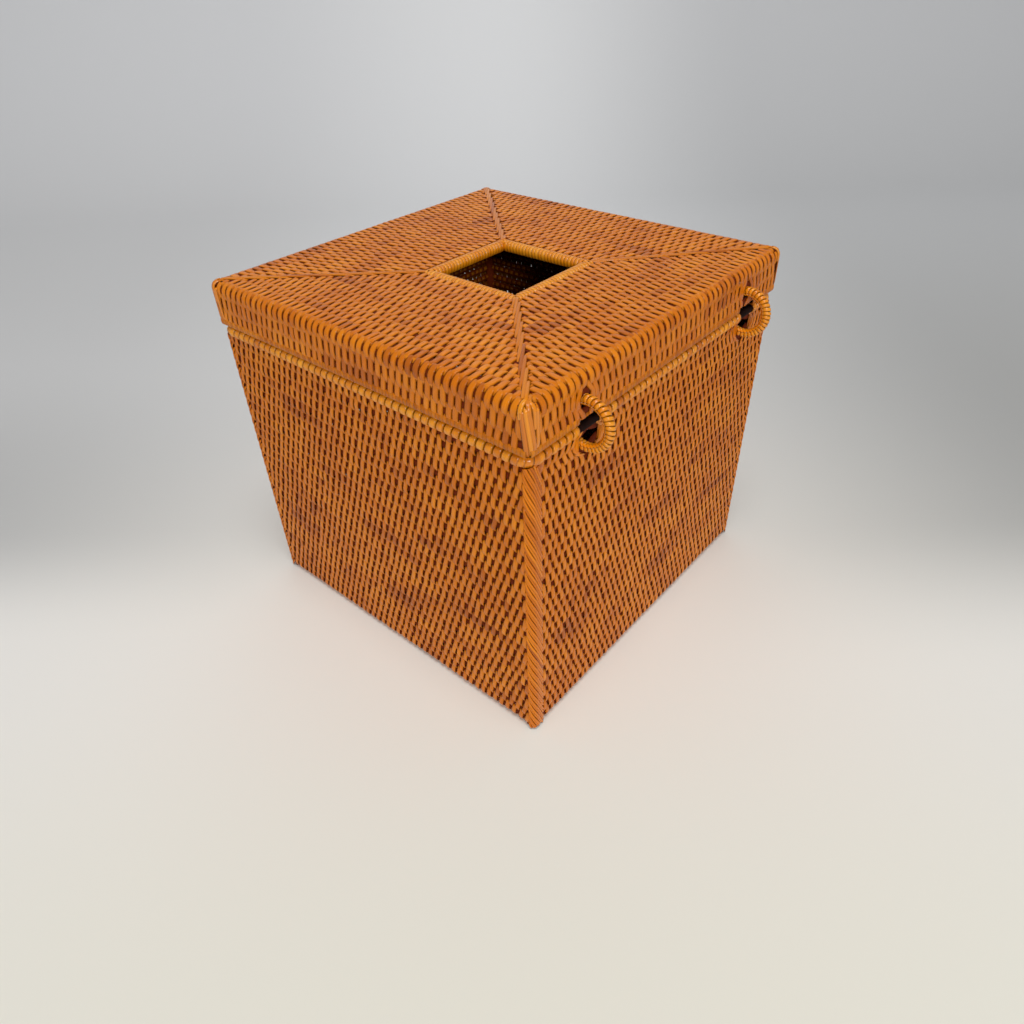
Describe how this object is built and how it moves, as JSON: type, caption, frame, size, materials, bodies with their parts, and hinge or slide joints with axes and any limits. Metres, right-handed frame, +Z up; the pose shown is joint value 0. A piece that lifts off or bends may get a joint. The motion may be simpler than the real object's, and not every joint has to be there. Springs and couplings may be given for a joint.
{
  "type": "tissue box cover",
  "caption": "Square woven rattan tissue box cover with a flat hinged lid, a square tissue opening and two bound ring hinges.",
  "frame": {"origin": "middle of the bottom face, on the surface that the cover stands on", "axes": "+Z up, +Y towards the rear wall that carries the hinge rings, +X to the right seen from the front"},
  "size_m": [0.1652, 0.1764, 0.1524],
  "materials": {
    "woven_rattan": "split rattan, woven, clear lacquer",
    "rattan_plait": "split rattan, plaited, clear lacquer",
    "rattan_strip": "rattan peel strip, wound, glossy clear lacquer",
    "rattan_rod": "round rattan core, bare"
  },
  "bodies": {
    "base": {"base_bottom": "woven_rattan", "base_wall_front": "woven_rattan", "base_wall_right": "woven_rattan", "base_wall_rear": "woven_rattan", "base_wall_left": "woven_rattan", "base_corner_front_right": "rattan_plait", "base_corner_rear_right": "rattan_plait", "base_corner_rear_left": "rattan_plait", "base_corner_front_left": "rattan_plait", "rim_rod": "rattan_rod", "rim_binding": "rattan_strip"},
    "lid": {"lid_panel_front": "woven_rattan", "lid_panel_right": "woven_rattan", "lid_panel_rear": "woven_rattan", "lid_panel_left": "woven_rattan", "lid_seam_front_right": "rattan_plait", "lid_seam_rear_right": "rattan_plait", "lid_seam_rear_left": "rattan_plait", "lid_seam_front_left": "rattan_plait", "lid_opening_edge": "rattan_strip", "lid_skirt_front": "woven_rattan", "lid_skirt_right": "woven_rattan", "lid_skirt_rear": "woven_rattan", "lid_skirt_left": "woven_rattan", "lid_corner_front_right": "rattan_plait", "lid_corner_rear_right": "rattan_plait", "lid_corner_rear_left": "rattan_plait", "lid_corner_front_left": "rattan_plait"},
    "ring_left": {"ring_left_core": "rattan_rod", "ring_left_binding": "rattan_strip"},
    "ring_right": {"ring_right_core": "rattan_rod", "ring_right_binding": "rattan_strip"}
  },
  "joints": [
    {"name": "lid_hinge", "type": "hinge", "parent": "base", "child": "lid", "pos_m": [0, 0.0832, 0.1329], "axis": [-1, 0, 0], "range_deg": [0, 180]},
    {"name": "ring_left_turn", "type": "hinge", "parent": "base", "child": "ring_left", "pos_m": [-0.054, 0.0832, 0.1329], "axis": [1, 0, 0], "continuous": true},
    {"name": "ring_right_turn", "type": "hinge", "parent": "base", "child": "ring_right", "pos_m": [0.054, 0.0832, 0.1329], "axis": [1, 0, 0], "continuous": true}
  ]
}
